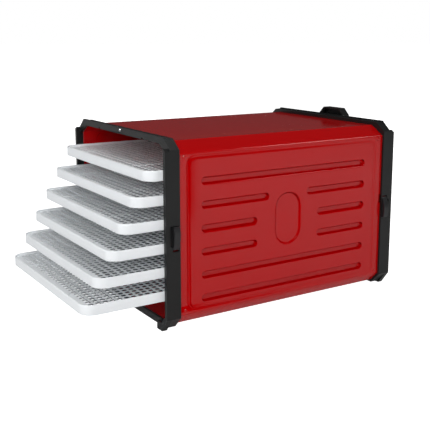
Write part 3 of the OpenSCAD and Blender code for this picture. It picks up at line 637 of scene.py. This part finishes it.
# width of the rounded edges in mm and how many segments they have
SOFTENED = {
    "front_frame": (0.45, 2), "rear_frame": (0.45, 2), "frame_screws": (0.25, 2), "panel_rivets": (0.4, 2),
    "front_left_catch": (0.6, 2), "front_right_catch": (0.6, 2), "rear_left_catch": (0.6, 2),
    "rear_right_catch": (0.6, 2), "rear_cover": (0.9, 3), "grip_hood": (0.7, 3), "cover_screws": (0.3, 2),
    "thermostat_knob": (0.6, 3), "switch_housing": (0.3, 2), "switch_rocker": (0.4, 2),
    "mains_inlet": (0.3, 2), "fan_impeller": (0.3, 1), "motor_stack": (0.4, 1), "motor_winding": (1.2, 3),
    "motor_bracket": (0.3, 1),
}
for node, (width, segments) in SOFTENED.items():
    softened(node, width, segments)
REPLACED = set(SOFTENED) | {"casing_wrap", "base_pan", "heater_coil"} | {"tray_%d" % k for k in range(1, 7)}
for node, shown in frame["nodes"].items():
    if node not in REPLACED:
        for place in range(len(shown.data.materials)):
            shown.data.materials[place] = MATERIALS[SLOT_OF[node]]


# ---- studio ----
# what the floor gives off near and far for reflections, dimmer near the object as a painted shadow, the
# metres between the two, and then what it gives off for the camera and for soft light
FLOOR_GLOW = (0.09, 0.34)
GLOW_OVER = (0.35, 1.4)
FLOOR_GLOW_SEEN = 1.05
FLOOR_BOUNCE = 0.45
ROOM_LIGHT = 0.05


def studio_floor():
    """A pale floor out to the horizon, whose glow in reflections grows with the distance from the object, so
    a painted shadow lies near it.
    """
    side = np.linspace(-30000, 30000, 13)
    x, y = np.meshgrid(side, side, indexing="ij")
    points = np.stack([x, y, np.full_like(x, -0.1)], axis=-1).reshape(-1, 3) * MM
    mesh = bpy.data.meshes.new("floor")
    mesh.from_pydata(points.tolist(), [], grid_faces(13, 13)[:, ::-1].tolist())
    made = bpy.data.objects.new("floor", mesh)
    bpy.context.scene.collection.objects.link(made)
    material = bpy.data.materials.new("studio_white")
    material.use_nodes = True
    tree = material.node_tree
    tree.nodes.clear()
    diffuse = add_node(tree, "ShaderNodeBsdfDiffuse", {"Color": (0.5, 0.5, 0.5, 1)})
    path = add_node(tree, "ShaderNodeLightPath")
    place = add_node(tree, "ShaderNodeTexCoord").outputs["Object"]
    away = add_node(tree, "ShaderNodeVectorMath", links={0: place}, operation="LENGTH").outputs["Value"]
    stretch = {1: GLOW_OVER[0], 2: GLOW_OVER[1], 3: FLOOR_GLOW[0], 4: FLOOR_GLOW[1]}
    near = add_node(tree, "ShaderNodeMapRange", stretch, {0: away})
    soft = add_node(tree, "ShaderNodeMapRange", {4: FLOOR_BOUNCE},
                    {0: path.outputs["Is Diffuse Ray"], 3: near.outputs[0]})
    lift = add_node(tree, "ShaderNodeMapRange", {4: FLOOR_GLOW_SEEN},
                    {0: path.outputs["Is Camera Ray"], 3: soft.outputs[0]})
    glow = add_node(tree, "ShaderNodeEmission", {"Color": (1, 1, 1, 1)}, {"Strength": lift.outputs[0]})
    both = add_node(tree, "ShaderNodeAddShader", links={0: diffuse.outputs[0], 1: glow.outputs[0]})
    add_node(tree, "ShaderNodeOutputMaterial", links={"Surface": both.outputs[0]})
    mesh.materials.append(material)


def softbox(name, spot, aim, size, power):
    """An area light at spot that faces aim, in metres and watts."""
    data = bpy.data.lights.new(name, "AREA")
    data.shape = "RECTANGLE"
    data.size, data.size_y = size
    data.energy = power
    lamp = bpy.data.objects.new(name, data)
    bpy.context.scene.collection.objects.link(lamp)
    way = Vector(aim) - Vector(spot)
    lamp.matrix_world = Matrix.Translation(Vector(spot)) @ way.to_track_quat("-Z", "Y").to_matrix().to_4x4()
    return lamp


def studio_world():
    """White behind the object for the camera, and a dim grey room for everything else."""
    world = bpy.data.worlds.new("studio")
    bpy.context.scene.world = world
    world.use_nodes = True
    tree = world.node_tree
    tree.nodes.clear()
    seen = add_node(tree, "ShaderNodeLightPath").outputs["Is Camera Ray"]
    white = add_node(tree, "ShaderNodeBackground", {"Color": (1, 1, 1, 1), "Strength": 1.0})
    room = add_node(tree, "ShaderNodeBackground", {"Color": (1, 1, 1, 1), "Strength": ROOM_LIGHT})
    mix = add_node(tree, "ShaderNodeMixShader", links={0: seen, 1: room.outputs[0], 2: white.outputs[0]})
    add_node(tree, "ShaderNodeOutputWorld", links={"Surface": mix.outputs[0]})


studio_floor()
studio_world()
# soft light from the right, the mouth's side, above and behind; the sheens only make reflections
softbox("key", (2.2, -1.6, 1.1), (0, 0, 0.15), (1.1, 1.1), 38).visible_glossy = False
softbox("sheen", (2.2, -1.6, 1.1), (0, 0, 0.15), (0.9, 0.9), 4).visible_diffuse = False
softbox("back_fill", (-2.1, 1.8, 1.0), (0, 0, 0.15), (1.2, 1.2), 34).visible_glossy = False
softbox("back_sheen", (-0.4, 2.4, 0.7), (0, 0, 0.15), (1.0, 1.0), 6).visible_diffuse = False
softbox("fill", (-0.3, -2.6, 0.5), (0, -0.2, 0.1), (0.5, 0.5), 15)
softbox("overhead", (0.3, -0.3, 2.3), (0, 0, 0.2), (1.5, 1.5), 24)
softbox("spark", (1.7, -0.7, 1.9), (0.1, 0, 0.15), (0.45, 0.45), 110).visible_diffuse = False
softbox("rim", (1.4, 1.5, 1.6), (0.1, 0, 0.2), (0.6, 0.6), 8)

bpy.context.view_layer.update()
